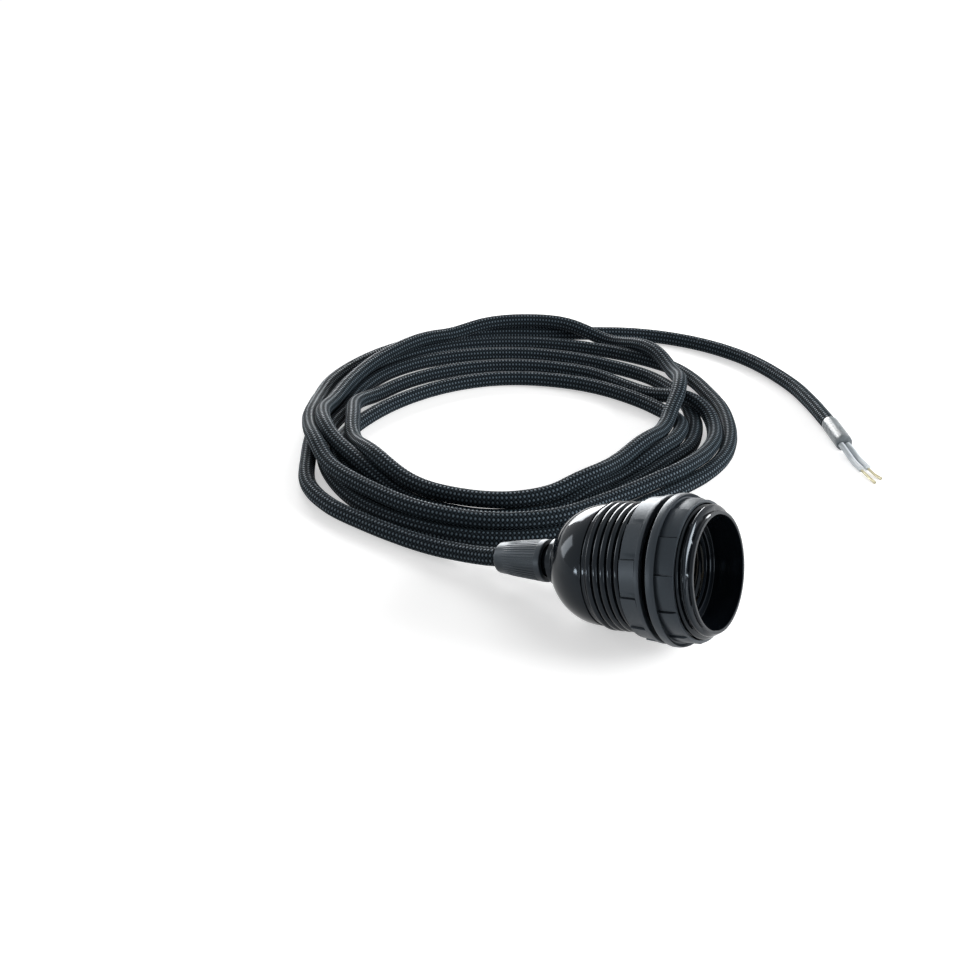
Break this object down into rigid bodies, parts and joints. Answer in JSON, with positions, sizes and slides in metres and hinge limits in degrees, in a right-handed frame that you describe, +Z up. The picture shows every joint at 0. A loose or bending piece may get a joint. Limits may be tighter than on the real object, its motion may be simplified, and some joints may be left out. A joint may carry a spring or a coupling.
{
  "type": "pendant cord set",
  "caption": "Black screw-base lamp holder with two threaded shade rings, a domed cap and a ribbed cord grip, on a coiled braided cord with stripped wire ends.",
  "frame": {"origin": "on the surface, under the middle of the lamp holder's box, with the holder lying back on its dome", "axes": "+Z up; the lamp holder's axis lies in the XZ plane, with its mouth towards +X and raised 15 degrees; the cord's coil lies towards -X and +Y"},
  "size_m": [0.2286, 0.2434, 0.0481],
  "materials": {
    "gloss_shell": "gloss",
    "satin_grip": "satin",
    "block": "matt",
    "brass": "bare",
    "steel": "plated",
    "braid": "braided textile",
    "sleeve": "translucent",
    "core_brown": "satin",
    "core_blue": "satin",
    "core_pale": "satin",
    "copper": "bare"
  },
  "bodies": {
    "root": {"threaded_skirt": "gloss_shell", "shade_ring_front": "satin_grip", "shade_ring_rear": "satin_grip", "dome_cap": "gloss_shell", "grip_stem": "gloss_shell", "grip_nut": "satin_grip", "contact_block": "block", "centre_contact": "brass", "side_contact": "brass", "terminal_post_live": "brass", "terminal_post_neutral": "brass", "contact_screw_live": "steel", "contact_screw_neutral": "steel", "clamp_screw_live": "steel", "clamp_screw_neutral": "steel", "cord_end_inside": "braid", "inside_core_live": "core_brown", "inside_core_neutral": "core_blue", "inside_copper_live": "copper", "inside_copper_neutral": "copper", "cord_lead": "braid", "cord_coil": "braid", "cord_tail": "braid", "end_sleeve": "sleeve", "end_core_live": "core_pale", "end_core_neutral": "core_pale", "end_copper_live": "copper", "end_copper_neutral": "copper"}
  },
  "joints": []
}
